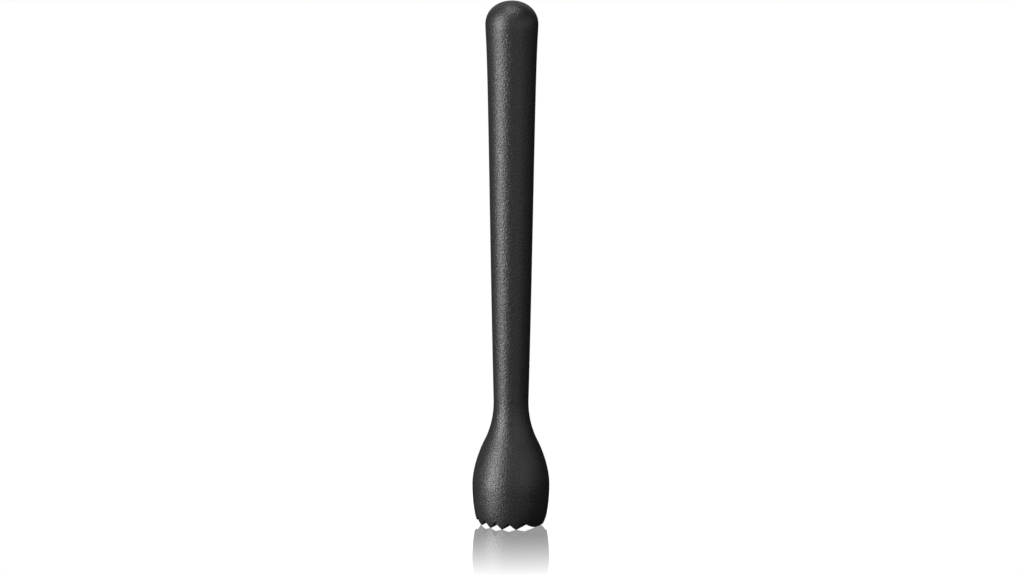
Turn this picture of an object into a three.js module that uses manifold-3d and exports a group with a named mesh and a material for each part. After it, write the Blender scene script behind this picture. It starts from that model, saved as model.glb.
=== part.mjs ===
// Bar muddler: a domed cap, a tapered handle and an onion-shaped head with a ridged foot, three mouldings drawn
// together by a steel tie rod. Millimetres, +Z up. The origin is on the axis, level with the tips of the ridges,
// so the part stands upright on z = 0. The ridges run along Y.

import * as THREE from 'three';
import { mergeVertices } from 'three/addons/utils/BufferGeometryUtils.js';
import Module from 'manifold-3d';

const wasm = await Module();
wasm.setup();

// ---- Driving dimensions ---------------------------------------------------------------------------------------

const TOTAL_LENGTH = 220;
const FOOT_RADIUS = 13.8;
const HEAD_RADIUS = 16.1;
const NECK_RADIUS = 7.28;
const SHOULDER_RADIUS = 10.75;
const DOME_RADIUS = 10.87;

const HEAD_WIDEST = 16; // height of the widest part of the head
const HEAD_FLANK = 34.7; // height where the head's convex side turns concave
const NECK_JOINT = 52; // height of the joint between head and handle
const CAP_JOINT = 207; // height of the joint between handle and cap
const DOME_WIDEST = 210.3; // height where the dome starts to close

const RIDGE_PITCH = 5.36;
const RIDGE_DEPTH = 3.15;
const RIDGE_LAND = 0.4; // flat left on the tip of each ridge
const VALLEYS_EACH_SIDE = 2; // besides the valley on the axis

const CLEARANCE = 0.3; // between mouldings and the pieces inside them
const SEAL_CLEARANCE = 0.1; // between a seal ring and its groove
const SIDES = 48; // facets round the mouldings
const SMALL_SIDES = 24; // facets round rods, rings and inserts

// ---- Helpers --------------------------------------------------------------------------------------------------

/** Turns a closed geometry into a solid that can be joined and cut. */
function solid(geometry) {
  const bare = geometry.clone();
  bare.deleteAttribute('normal');
  bare.deleteAttribute('uv');
  const merged = mergeVertices(bare, 1e-5);
  return new wasm.Manifold(new wasm.Mesh({
    numProp: 3,
    vertProperties: new Float32Array(merged.attributes.position.array),
    triVerts: new Uint32Array(merged.index.array),
  }));
}

/** Turns a solid back into a geometry with flat-shaded normals. */
function geometryOf(body) {
  const { vertProperties, triVerts } = body.getMesh();
  const geometry = new THREE.BufferGeometry();
  geometry.setAttribute('position', new THREE.BufferAttribute(new Float32Array(vertProperties), 3));
  geometry.setIndex(new THREE.BufferAttribute(new Uint32Array(triVerts), 1));
  const faceted = geometry.toNonIndexed();
  faceted.computeVertexNormals();
  return faceted;
}

/** Turns an outline of [radius, height] points about Z, going up the outside; its ends lie on the axis. */
function turned(outline, sides) {
  const points = outline.map(([radius, height]) => new THREE.Vector2(radius, height));
  return new THREE.LatheGeometry(points, sides).rotateX(Math.PI / 2);
}

/** A plain cylinder about Z between two heights. */
function cylinder(radius, bottom, top, sides = SIDES) {
  return turned([[0, bottom], [radius, bottom], [radius, top], [0, top]], sides);
}

/** A box centred on a point of the axis. */
function block(width, depth, bottom, top) {
  return new THREE.BoxGeometry(width, depth, top - bottom).translate(0, 0, (bottom + top) / 2);
}

/** A flat outline in XY raised from one height to another. */
function raised(shape, bottom, top) {
  const geometry = new THREE.ExtrudeGeometry(shape, { depth: top - bottom, bevelEnabled: false });
  return geometry.translate(0, 0, bottom);
}

/** Points along a Bezier curve in the radius-height plane, without its first point. */
function curve(start, startHandle, endHandle, end, steps) {
  const bezier = new THREE.CubicBezierCurve(
    new THREE.Vector2(...start), new THREE.Vector2(...startHandle),
    new THREE.Vector2(...endHandle), new THREE.Vector2(...end),
  );
  return bezier.getPoints(steps).slice(1).map((point) => [point.x, point.y]);
}

/** A ring about Z with an eight-sided section. */
function ring(centreRadius, height, thickness, sides) {
  const corners = 8;
  const outline = [];
  for (let corner = 0; corner <= corners; corner += 1) {
    const angle = ((corner % corners) / corners) * 2 * Math.PI + Math.PI / corners;
    outline.push([
      centreRadius + (thickness / 2) * Math.cos(angle),
      height + (thickness / 2) * Math.sin(angle),
    ]);
  }
  return turned(outline, sides);
}

// ---- Mouldings ------------------------------------------------------------------------------------------------

const ROD_RADIUS = 2.5;
const ROD_BORE = ROD_RADIUS + CLEARANCE;
const ROD_BOTTOM = 30;
const ROD_TOP = 191;

const INSERT_RADIUS = 4.8;
const INSERT_BOTTOM = 28.3;
const INSERT_TOP = 41.7;

const HEAD_SPIGOT_RADIUS = 5.2;
const HEAD_SPIGOT_TOP = 64;
const SPIGOT_FLATS = 8.8; // across the two flats that stop the head turning in the handle
const FLATS_BOTTOM = 56.5;

const COUNTERBORE_RADIUS = 6;
const COUNTERBORE_FLOOR = 182;
const CAP_SPIGOT_RADIUS = COUNTERBORE_RADIUS - CLEARANCE;
const CAP_SPIGOT_BOTTOM = 194;
const CAP_CORE_RADIUS = 3.6; // hollow inside the cap, which keeps its wall even
const CAP_CORE_TOP = 215;

const SEAL_THICKNESS = 1.1;
const SEAL_GROOVE_DEPTH = 1;
const HEAD_SEAL_HEIGHT = 54;
const CAP_SEAL_HEIGHT = 204.5;

const SNAP_HEIGHT = 198.5;
const SNAP_PROUD = 0.5; // how far the cap's snap bead stands out
const SNAP_WIDTH = 2;

/** Outline points of a square-sided groove cut into a spigot for a seal ring, going up. */
function sealGroove(spigotRadius, height) {
  const half = SEAL_THICKNESS / 2 + SEAL_CLEARANCE;
  const floor = spigotRadius - SEAL_GROOVE_DEPTH;
  return [
    [spigotRadius, height - half], [floor, height - half],
    [floor, height + half], [spigotRadius, height + half],
  ];
}

/** Outline points of a snap bead, or of the groove that it clicks into, going up. */
function snapBead(wallRadius, room) {
  const half = SNAP_WIDTH / 2 + room;
  const crest = SNAP_WIDTH / 4 + room;
  return [
    [wallRadius, SNAP_HEIGHT - half], [wallRadius + SNAP_PROUD, SNAP_HEIGHT - crest],
    [wallRadius + SNAP_PROUD, SNAP_HEIGHT + crest], [wallRadius, SNAP_HEIGHT + half],
  ];
}

/** Two blocks that leave a flat-sided core between them, for the flats on the spigot and in its socket. */
function flatCutters(acrossFlats, bottom, top) {
  const reach = 2 * NECK_RADIUS;
  return [-1, 1].map((side) => {
    const cutter = block(reach, 2 * reach, bottom, top);
    return solid(cutter.translate(side * (acrossFlats + reach) / 2, 0, 0));
  });
}

/** The zigzag comb that cuts the V-shaped valleys into the foot. Valleys lie on whole pitches from the axis. */
function ridgeComb() {
  const slope = RIDGE_DEPTH / ((RIDGE_PITCH - RIDGE_LAND) / 2);
  const low = -slope * (RIDGE_LAND / 2);
  const reach = (VALLEYS_EACH_SIDE + 0.5) * RIDGE_PITCH;
  const outline = new THREE.Shape();
  outline.moveTo(-reach, low);
  for (let valley = -VALLEYS_EACH_SIDE; valley <= VALLEYS_EACH_SIDE; valley += 1) {
    outline.lineTo(valley * RIDGE_PITCH, RIDGE_DEPTH);
    outline.lineTo((valley + 0.5) * RIDGE_PITCH, low);
  }
  outline.lineTo(reach, low - RIDGE_DEPTH);
  outline.lineTo(-reach, low - RIDGE_DEPTH);
  outline.closePath();
  return raised(outline, -2 * HEAD_RADIUS, 2 * HEAD_RADIUS).rotateX(Math.PI / 2);
}

/** The head: flared foot, round belly, concave flank up to the neck, then the spigot. */
function headGeometry() {
  const outer = turned([
    [0, 0],
    [FOOT_RADIUS, 0],
    ...curve([FOOT_RADIUS, 0], [15.5, 3.1], [HEAD_RADIUS, 10.3], [HEAD_RADIUS, HEAD_WIDEST], 10),
    ...curve([HEAD_RADIUS, HEAD_WIDEST], [HEAD_RADIUS, 22], [13.7, 29.6], [11.15, HEAD_FLANK], 9),
    ...curve([11.15, HEAD_FLANK], [8.5, 40], [7.5, 45.8], [NECK_RADIUS, NECK_JOINT], 8),
    [HEAD_SPIGOT_RADIUS, NECK_JOINT],
    ...sealGroove(HEAD_SPIGOT_RADIUS, HEAD_SEAL_HEIGHT),
    [HEAD_SPIGOT_RADIUS, HEAD_SPIGOT_TOP],
    [0, HEAD_SPIGOT_TOP],
  ], SIDES);
  const core = turned([
    [0, INSERT_BOTTOM - CLEARANCE],
    [INSERT_RADIUS + CLEARANCE, INSERT_BOTTOM - CLEARANCE],
    [INSERT_RADIUS + CLEARANCE, INSERT_TOP + CLEARANCE],
    [ROD_BORE, INSERT_TOP + CLEARANCE],
    [ROD_BORE, HEAD_SPIGOT_TOP + 1],
    [0, HEAD_SPIGOT_TOP + 1],
  ], SMALL_SIDES);
  let body = solid(outer).subtract(solid(core)).subtract(solid(ridgeComb()));
  for (const cutter of flatCutters(SPIGOT_FLATS, FLATS_BOTTOM, HEAD_SPIGOT_TOP + 1)) {
    body = body.subtract(cutter);
  }
  return geometryOf(body);
}

/** The handle: a long taper with a little extra flare towards the cap, bored for spigot, rod, nut and cap. */
function handleGeometry() {
  const outer = turned([
    [0, NECK_JOINT],
    [NECK_RADIUS, NECK_JOINT],
    ...curve([NECK_RADIUS, NECK_JOINT], [9.02, 121.5], [9.58, 189.6], [SHOULDER_RADIUS, CAP_JOINT], 14),
    [0, CAP_JOINT],
  ], SIDES);
  const socketTop = HEAD_SPIGOT_TOP + CLEARANCE;
  let socket = solid(cylinder(HEAD_SPIGOT_RADIUS + CLEARANCE, NECK_JOINT - 1, socketTop));
  const socketFlats = SPIGOT_FLATS + 2 * CLEARANCE;
  for (const cutter of flatCutters(socketFlats, FLATS_BOTTOM + CLEARANCE, socketTop + 1)) {
    socket = socket.subtract(cutter);
  }
  const bore = solid(cylinder(ROD_BORE, NECK_JOINT, CAP_JOINT, SMALL_SIDES));
  const counterbore = turned([
    [0, COUNTERBORE_FLOOR],
    [COUNTERBORE_RADIUS, COUNTERBORE_FLOOR],
    ...snapBead(COUNTERBORE_RADIUS, CLEARANCE),
    [COUNTERBORE_RADIUS, CAP_JOINT + 1],
    [0, CAP_JOINT + 1],
  ], SIDES);
  return geometryOf(solid(outer).subtract(socket).subtract(bore).subtract(solid(counterbore)));
}

/** The cap: a dome on a short belt, with a hollow spigot that carries a seal groove and a snap bead. */
function capGeometry() {
  const outer = turned([
    [0, CAP_SPIGOT_BOTTOM],
    [CAP_SPIGOT_RADIUS, CAP_SPIGOT_BOTTOM],
    ...snapBead(CAP_SPIGOT_RADIUS, 0),
    ...sealGroove(CAP_SPIGOT_RADIUS, CAP_SEAL_HEIGHT),
    [CAP_SPIGOT_RADIUS, CAP_JOINT],
    [SHOULDER_RADIUS, CAP_JOINT],
    ...curve([SHOULDER_RADIUS, CAP_JOINT], [10.79, 208], [DOME_RADIUS, 209.4], [DOME_RADIUS, DOME_WIDEST], 3),
    ...curve([DOME_RADIUS, DOME_WIDEST], [DOME_RADIUS, 216.1], [6.15, TOTAL_LENGTH], [0, TOTAL_LENGTH], 10),
  ], SIDES);
  const core = turned([
    [0, CAP_SPIGOT_BOTTOM - 1],
    [CAP_CORE_RADIUS, CAP_SPIGOT_BOTTOM - 1],
    [CAP_CORE_RADIUS, CAP_CORE_TOP - CAP_CORE_RADIUS],
    ...curve(
      [CAP_CORE_RADIUS, CAP_CORE_TOP - CAP_CORE_RADIUS], [CAP_CORE_RADIUS, CAP_CORE_TOP - 1.6],
      [2, CAP_CORE_TOP], [0, CAP_CORE_TOP], 5,
    ),
  ], SMALL_SIDES);
  return geometryOf(solid(outer).subtract(solid(core)));
}

// ---- Pieces inside --------------------------------------------------------------------------------------------

const THREAD_PITCH = 0.8;
const THREAD_DEPTH = 0.45;
const THREADED_LENGTH = 8;
const ROD_SIDES = 16;

/** Outline points of a screw thread as rings of one pitch each, going up from a height. */
function threadRings(bottom) {
  const turns = Math.floor(THREADED_LENGTH / THREAD_PITCH);
  const rings = [];
  for (let turn = 0; turn < turns; turn += 1) {
    const height = bottom + turn * THREAD_PITCH;
    rings.push([ROD_RADIUS - THREAD_DEPTH, height], [ROD_RADIUS, height + THREAD_PITCH / 2]);
  }
  rings.push([ROD_RADIUS - THREAD_DEPTH, bottom + turns * THREAD_PITCH]);
  return rings;
}

/** The tie rod: plain in the middle, threaded at both ends. */
function rodGeometry() {
  const upperThread = ROD_TOP - THREADED_LENGTH;
  return turned([
    [0, ROD_BOTTOM],
    ...threadRings(ROD_BOTTOM),
    [ROD_RADIUS, ROD_BOTTOM + THREADED_LENGTH + THREAD_DEPTH],
    [ROD_RADIUS, upperThread - THREAD_DEPTH],
    ...threadRings(upperThread),
    [0, ROD_TOP],
  ], ROD_SIDES);
}

/** The insert: two knurled bands with a waist between them, so that the moulding grips it. */
function insertGeometry() {
  const teeth = 18;
  const toothDepth = 0.4;
  const waistRadius = 4.1;
  const waistWidth = 2.4;
  const knurl = new THREE.Shape();
  for (let corner = 0; corner < 2 * teeth; corner += 1) {
    const radius = corner % 2 === 0 ? INSERT_RADIUS : INSERT_RADIUS - toothDepth;
    const angle = (corner / (2 * teeth)) * 2 * Math.PI;
    const place = [radius * Math.cos(angle), radius * Math.sin(angle)];
    if (corner === 0) knurl.moveTo(...place);
    else knurl.lineTo(...place);
  }
  knurl.closePath();
  const middle = (INSERT_BOTTOM + INSERT_TOP) / 2;
  const body = solid(cylinder(waistRadius, INSERT_BOTTOM, INSERT_TOP, SMALL_SIDES))
    .add(solid(raised(knurl, INSERT_BOTTOM, middle - waistWidth / 2)))
    .add(solid(raised(knurl, middle + waistWidth / 2, INSERT_TOP)))
    .subtract(solid(cylinder(ROD_BORE, INSERT_BOTTOM - 1, INSERT_TOP + 1, SMALL_SIDES)));
  return geometryOf(body);
}

const WASHER_RADIUS = 5;
const WASHER_THICKNESS = 1;
const NUT_FLATS = 8;
const NUT_HEIGHT = 4;

/** A flat outline with the rod's clearance hole through it, raised into a plate or a nut. */
function plateWithHole(outline, bottom, height) {
  const hole = new THREE.Path();
  hole.absarc(0, 0, ROD_BORE, 0, 2 * Math.PI, true);
  outline.holes.push(hole);
  const geometry = new THREE.ExtrudeGeometry(outline, {
    depth: height, bevelEnabled: false, curveSegments: SMALL_SIDES,
  });
  return geometry.translate(0, 0, bottom);
}

/** The washer, flat on the floor of the counterbore. */
function washerGeometry() {
  const outline = new THREE.Shape();
  outline.absarc(0, 0, WASHER_RADIUS, 0, 2 * Math.PI, false);
  return plateWithHole(outline, COUNTERBORE_FLOOR, WASHER_THICKNESS);
}

/** The hexagon nut on the washer. */
function nutGeometry() {
  const corners = 6;
  const cornerRadius = NUT_FLATS / 2 / Math.cos(Math.PI / corners);
  const outline = new THREE.Shape();
  for (let corner = 0; corner < corners; corner += 1) {
    const angle = (corner / corners) * 2 * Math.PI;
    const place = [cornerRadius * Math.cos(angle), cornerRadius * Math.sin(angle)];
    if (corner === 0) outline.moveTo(...place);
    else outline.lineTo(...place);
  }
  outline.closePath();
  return plateWithHole(outline, COUNTERBORE_FLOOR + WASHER_THICKNESS, NUT_HEIGHT);
}

/** A seal ring, centred between the floor of its groove and the wall that it seals against. */
function sealGeometry(spigotRadius, height) {
  const centreRadius = spigotRadius + (CLEARANCE - SEAL_GROOVE_DEPTH) / 2;
  return ring(centreRadius, height, SEAL_THICKNESS, SMALL_SIDES);
}

// ---- Materials and assembly -----------------------------------------------------------------------------------

const blackPlastic = { color: 0x1b1b1c, roughness: 0.55, metalness: 0 };
const steel = { color: 0x9a9da0, roughness: 0.35, metalness: 1 };
const brass = { color: 0xb08d4a, roughness: 0.4, metalness: 1 };
const rubber = { color: 0x2a2a2a, roughness: 0.8, metalness: 0 };

const group = new THREE.Group();

/** Adds one named piece with a material of its own. */
function addPiece(name, geometry, finish) {
  const piece = new THREE.Mesh(geometry, new THREE.MeshStandardMaterial(finish));
  piece.name = name;
  group.add(piece);
}

addPiece('toothed_head', headGeometry(), blackPlastic);
addPiece('handle_grip', handleGeometry(), blackPlastic);
addPiece('dome_cap', capGeometry(), blackPlastic);
addPiece('tie_rod', rodGeometry(), steel);
addPiece('head_insert', insertGeometry(), brass);
addPiece('rod_washer', washerGeometry(), steel);
addPiece('rod_nut', nutGeometry(), steel);
addPiece('head_seal', sealGeometry(HEAD_SPIGOT_RADIUS, HEAD_SEAL_HEIGHT), rubber);
addPiece('cap_seal', sealGeometry(CAP_SPIGOT_RADIUS, CAP_SEAL_HEIGHT), rubber);

export default group;
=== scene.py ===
"""A bar muddler in black grained plastic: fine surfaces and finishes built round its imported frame."""

import math

import bmesh
import bpy
import numpy as np
from bpy.props import FloatProperty, FloatVectorProperty, IntProperty, PointerProperty
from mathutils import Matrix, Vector


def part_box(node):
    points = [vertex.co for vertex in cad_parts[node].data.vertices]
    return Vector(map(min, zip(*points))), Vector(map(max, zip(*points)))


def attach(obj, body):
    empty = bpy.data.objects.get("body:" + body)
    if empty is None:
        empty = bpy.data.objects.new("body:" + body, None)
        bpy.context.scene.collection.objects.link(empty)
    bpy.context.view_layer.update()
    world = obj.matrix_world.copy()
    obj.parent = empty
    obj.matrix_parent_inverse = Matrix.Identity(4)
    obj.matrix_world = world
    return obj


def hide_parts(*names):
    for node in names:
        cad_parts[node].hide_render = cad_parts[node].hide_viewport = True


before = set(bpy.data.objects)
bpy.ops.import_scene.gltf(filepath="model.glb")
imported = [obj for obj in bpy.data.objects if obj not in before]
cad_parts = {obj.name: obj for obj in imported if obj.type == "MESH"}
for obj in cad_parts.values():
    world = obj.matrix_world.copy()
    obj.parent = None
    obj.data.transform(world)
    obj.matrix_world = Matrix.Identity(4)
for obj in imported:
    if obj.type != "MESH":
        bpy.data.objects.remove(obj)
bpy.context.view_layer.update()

bl_info = {
    "name": "Bar muddler",
    "version": (1, 0, 0),
    "blender": (4, 5, 0),
    "location": "View3D > Sidebar > Muddler",
    "description": "Builds a bar muddler with a domed cap, a tapered handle and a ridged head",
    "category": "Add Mesh",
}

MM = 0.001
TURN = 2 * math.pi
SAME_PLACE = 1e-9
MERGE_DISTANCE = 1e-7
SMOOTH_ANGLE = math.radians(32)


# ---- Places taken from the frame -----------------------------------------------------------------


def node_points(node):
    """Every vertex of a frame node as an array of x, y, z."""
    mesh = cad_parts[node].data
    points = np.empty(len(mesh.vertices) * 3, np.float32)
    mesh.vertices.foreach_get("co", points)
    return points.reshape(-1, 3).astype(float)


def widest_near(node, height, reach=0.05 * MM):
    """The largest distance from the axis among a node's vertices at about a height."""
    points = node_points(node)
    near = points[np.abs(points[:, 2] - height) < reach]
    return float(np.hypot(near[:, 0], near[:, 1]).max())


def lowest(node):
    """The lowest height of a frame node."""
    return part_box(node)[0].z


def highest(node):
    """The highest height of a frame node."""
    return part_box(node)[1].z


NECK_JOINT = lowest("handle_grip")
CAP_JOINT = highest("handle_grip")
TOP = highest("dome_cap")
HEAD_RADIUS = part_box("toothed_head")[1].x
DOME_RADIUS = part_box("dome_cap")[1].x
NECK_RADIUS = widest_near("handle_grip", NECK_JOINT)
SHOULDER_RADIUS = widest_near("handle_grip", CAP_JOINT)
FOOT_RADIUS = widest_near("toothed_head", 0.0)


class MuddlerSizes(bpy.types.PropertyGroup):
    """Sizes of the ridged foot and of the small edges that a mould leaves."""

    ridge_pitch: FloatProperty(
        name="Ridge pitch", description="Distance from one ridge to the next",
        default=5.36 * MM, min=1 * MM, subtype="DISTANCE", unit="LENGTH",
    )
    ridge_depth: FloatProperty(
        name="Ridge depth", description="Depth of the valleys between the ridges",
        default=3.15 * MM, min=0.5 * MM, subtype="DISTANCE", unit="LENGTH",
    )
    ridge_land: FloatProperty(
        name="Ridge land", description="Width of the flat on the tip of each ridge",
        default=0.4 * MM, min=0.1 * MM, subtype="DISTANCE", unit="LENGTH",
    )
    valleys_each_side: IntProperty(
        name="Valleys each side", description="Valleys on either side of the middle one", default=2, min=1,
    )
    foot_edge: FloatProperty(
        name="Foot edge", description="Rounding of the ridges and of the rim",
        default=0.16 * MM, min=0.01 * MM, subtype="DISTANCE", unit="LENGTH",
    )
    joint_edge: FloatProperty(
        name="Joint edge", description="Rounding of the mouldings' edges where they meet",
        default=0.02 * MM, min=0.01 * MM, subtype="DISTANCE", unit="LENGTH",
    )


class MuddlerFinish(bpy.types.PropertyGroup):
    """Colours and grain of the finishes."""

    plastic_colour: FloatVectorProperty(
        name="Plastic colour", description="Colour of the black moulding plastic",
        default=(0.0125, 0.0122, 0.0123), size=3, min=0, max=1, subtype="COLOR",
    )
    plastic_roughness: FloatProperty(
        name="Plastic roughness", description="Mean roughness of the grained surface",
        default=0.42, min=0, max=1, subtype="FACTOR",
    )
    grain_size: FloatProperty(
        name="Grain size", description="Distance between the pits of the mould grain",
        default=0.75 * MM, min=0.05 * MM, subtype="DISTANCE", unit="LENGTH",
    )
    grain_depth: FloatProperty(
        name="Grain depth", description="Depth of the mould grain",
        default=0.14 * MM, min=0, subtype="DISTANCE", unit="LENGTH",
    )


class MuddlerStage(bpy.types.PropertyGroup):
    """Where the camera stands, how strong each light is and how glossy the floor is."""

    camera_azimuth: FloatProperty(
        name="Camera azimuth", description="Angle of the camera round the axis",
        default=math.radians(26.4), subtype="ANGLE", unit="ROTATION",
    )
    camera_elevation: FloatProperty(
        name="Camera elevation", description="Angle of the camera above the floor",
        default=math.radians(12.6), subtype="ANGLE", unit="ROTATION",
    )
    camera_distance: FloatProperty(
        name="Camera distance", description="Distance from the camera to its aim",
        default=2.0, min=0.5, subtype="DISTANCE", unit="LENGTH",
    )
    camera_roll: FloatProperty(
        name="Camera roll", description="Turn of the camera about its own line of sight",
        default=math.radians(0.12), subtype="ANGLE", unit="ROTATION",
    )
    camera_shift: FloatVectorProperty(
        name="Camera shift", description="Shift of the view to the side and up, as shares of its width",
        default=(-0.0008, -0.0005), size=2, precision=4,
    )
    around_strength: FloatProperty(
        name="Light behind", description="Power of the wide light low behind, which shows the back",
        default=1.8, min=0, subtype="POWER", unit="POWER",
    )
    key_strength: FloatProperty(
        name="Key light", description="Power of the tall softbox on the left",
        default=12.5, min=0, subtype="POWER", unit="POWER",
    )
    core_strength: FloatProperty(
        name="Key core", description="Power of the brighter strip inside the key",
        default=9.5, min=0, subtype="POWER", unit="POWER",
    )
    upper_strength: FloatProperty(
        name="Upper key light", description="Power of the softbox above the key",
        default=9.5, min=0, subtype="POWER", unit="POWER",
    )
    top_strength: FloatProperty(
        name="Top light", description="Power of the light above",
        default=7.0, min=0, subtype="POWER", unit="POWER",
    )
    back_strength: FloatProperty(
        name="Back light", description="Power of the light above and behind",
        default=0.8, min=0, subtype="POWER", unit="POWER",
    )
    fill_strength: FloatProperty(
        name="Fill light", description="Power of the wide, weak light on the right",
        default=4.0, min=0, subtype="POWER", unit="POWER",
    )
    right_strength: FloatProperty(
        name="Right light", description="Power of the weak light on the far right",
        default=1.5, min=0, subtype="POWER", unit="POWER",
    )
    floor_gloss: FloatProperty(
        name="Floor gloss", description="How much the floor mirrors just in front of the foot",
        default=0.69, min=0, max=1, subtype="FACTOR",
    )
    mirror_side: FloatProperty(
        name="Mirror side", description="Half the width of the ellipse at which the mirror starts",
        default=14 * MM, min=0, subtype="DISTANCE", unit="LENGTH",
    )
    mirror_full: FloatProperty(
        name="Mirror full", description="Distance from the axis at which the mirror starts to fade",
        default=24 * MM, min=0, subtype="DISTANCE", unit="LENGTH",
    )
    mirror_end: FloatProperty(
        name="Mirror end", description="Distance from the axis at which the floor mirrors nothing",
        default=83 * MM, min=0, subtype="DISTANCE", unit="LENGTH",
    )
    scallop_pitch: FloatProperty(
        name="Scallop pitch", description="Distance between the unpolished scallops in front of the valleys",
        default=5.36 * MM, min=0, subtype="DISTANCE", unit="LENGTH",
    )
    scallop_depth: FloatProperty(
        name="Scallop depth", description="How far the unpolished scallops reach out from the foot",
        default=3.4 * MM, min=0, subtype="DISTANCE", unit="LENGTH",
    )


# ---- Curves and surfaces -------------------------------------------------------------------------


def bezier(start, start_handle, end_handle, end, steps):
    """Points of a cubic curve: each is the sum of the four given points weighted by
    (1-t)^3, 3(1-t)^2 t, 3(1-t) t^2 and t^3, with t running evenly from 0 to 1."""
    t = np.linspace(0, 1, steps + 1)[:, None]
    given = [np.asarray(point, float) for point in (start, start_handle, end_handle, end)]
    weights = [(1 - t) ** 3, 3 * (1 - t) ** 2 * t, 3 * (1 - t) * t**2, t**3]
    return sum(weight * point for weight, point in zip(weights, given))


def joined(*parts):
    """One path from several arrays of points, leaving out points that repeat the one before."""
    path = np.concatenate([np.asarray(part, float).reshape(-1, 2) for part in parts])
    step = np.hypot(*np.diff(path, axis=0).T)
    return path[np.concatenate([[True], step > SAME_PLACE])]


def softened(path, size, closed=False):
    """The path with each sharp corner cut back by size and rounded: four points of the quadratic curve from
    the cut on one side, with the corner as its handle, to the cut on the other. A guard point on either side,
    three cuts from the corner, keeps the rounding out of the shading of the long walls. A gentle bend is left
    as it is. The tiny numbers keep a length of 0 from dividing."""
    gentle = math.radians(18)
    most_cut = 0.4
    guard_cuts = 3
    most_guard = 0.48
    before = np.roll(path, 1, axis=0) - path
    after = np.roll(path, -1, axis=0) - path
    length_before = np.hypot(*before.T)
    length_after = np.hypot(*after.T)
    straightness = (before * after).sum(1) / np.maximum(length_before * length_after, 1e-18)
    sharp = straightness > -math.cos(gentle)
    if not closed:
        sharp[[0, -1]] = False
    longest_cut = most_cut * np.minimum(length_before, length_after)
    cut = np.where(sharp, np.minimum(size, longest_cut), 0)[:, None]
    back = before / np.maximum(length_before, 1e-12)[:, None]
    on = after / np.maximum(length_after, 1e-12)[:, None]
    start = path + back * cut
    end = path + on * cut
    t = np.linspace(0, 1, 4)[:, None, None]
    curve = (1 - t) ** 2 * start + 2 * (1 - t) * t * path + t**2 * end
    guard_back = path + back * np.minimum(guard_cuts * cut, most_guard * length_before[:, None])
    guard_on = path + on * np.minimum(guard_cuts * cut, most_guard * length_after[:, None])
    whole = np.concatenate([guard_back[None], curve, guard_on[None]])
    whole = np.where((cut > 0)[None], whole, path[None])
    return joined(whole.transpose(1, 0, 2).reshape(-1, 2))


def turned_surface(path, angles, shape=None, closed=False):
    """A surface of two parameters. Along the first the radius and height follow a path, round the second
    the point turns about Z: x = r cos a, y = r sin a, z = h. shape(r, h, a) may change r and h. A path that
    starts or ends on the axis gets one pole point there, and a closed path joins its end to its start. The
    path goes up on the outside."""
    count = len(angles)
    pole_start = not closed and path[0, 0] < SAME_PLACE
    pole_end = not closed and path[-1, 0] < SAME_PLACE
    rings = path[int(pole_start): len(path) - int(pole_end)]
    radius = np.repeat(rings[:, :1], count, axis=1)
    height = np.repeat(rings[:, 1:], count, axis=1)
    angle = np.repeat(np.asarray(angles, float)[None, :], len(rings), axis=0)
    if shape is not None:
        radius, height = shape(radius, height, angle)
    points = np.stack([radius * np.cos(angle), radius * np.sin(angle), height], -1).reshape(-1, 3)
    row = np.arange(len(rings))[:, None] * count
    column = np.arange(count)[None, :]
    following = (column + 1) % count
    lower = row if closed else row[:-1]
    upper = np.roll(row, -1, axis=0) if closed else row[1:]
    corners = [lower + column, lower + following, upper + following, upper + column]
    faces = np.stack(corners, -1).reshape(-1, 4)
    fans = []
    if pole_start:
        fans.append((len(points), np.stack([following[0], column[0]], -1)))
        points = np.vstack([points, [0, 0, path[0, 1]]])
    if pole_end:
        top = row[-1, 0]
        fans.append((len(points), np.stack([top + column[0], top + following[0]], -1)))
        points = np.vstack([points, [0, 0, path[-1, 1]]])
    triangles = [np.column_stack([edge, np.full(count, pole)]) for pole, edge in fans]
    return points, faces, np.concatenate(triangles) if triangles else np.empty((0, 3), int)


def even_turn(count):
    """Angles evenly spaced round one turn."""
    return np.arange(count) / count * TURN


def make_piece(name, surfaces, material, stands_for):
    """A mesh object from (points, quads, triangles) surfaces whose shared edges are merged, riding on the
    root body in place of a frame node."""
    points, faces, offset = [], [], 0
    for surface_points, quads, triangles in surfaces:
        points.append(surface_points)
        faces += (quads + offset).tolist() + (triangles + offset).tolist()
        offset += len(surface_points)
    mesh = bpy.data.meshes.new(name)
    mesh.from_pydata(np.concatenate(points).tolist(), [], faces)
    work = bmesh.new()
    work.from_mesh(mesh)
    bmesh.ops.remove_doubles(work, verts=work.verts, dist=MERGE_DISTANCE)
    bmesh.ops.recalc_face_normals(work, faces=work.faces)
    work.to_mesh(mesh)
    work.free()
    mesh.shade_smooth()
    mesh.set_sharp_from_angle(angle=SMOOTH_ANGLE)
    mesh.materials.append(material)
    piece = bpy.data.objects.new(name, mesh)
    bpy.context.scene.collection.objects.link(piece)
    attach(piece, "root")
    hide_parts(stands_for)
    return piece


# ---- Outlines, as [radius, height] in metres -----------------------------------------------------

HEAD_WIDEST = 16 * MM
HEAD_FLANK = np.array([11.15, 34.7]) * MM
HEAD_STEPS = 28
DOME_WIDEST = 210.3 * MM


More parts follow.
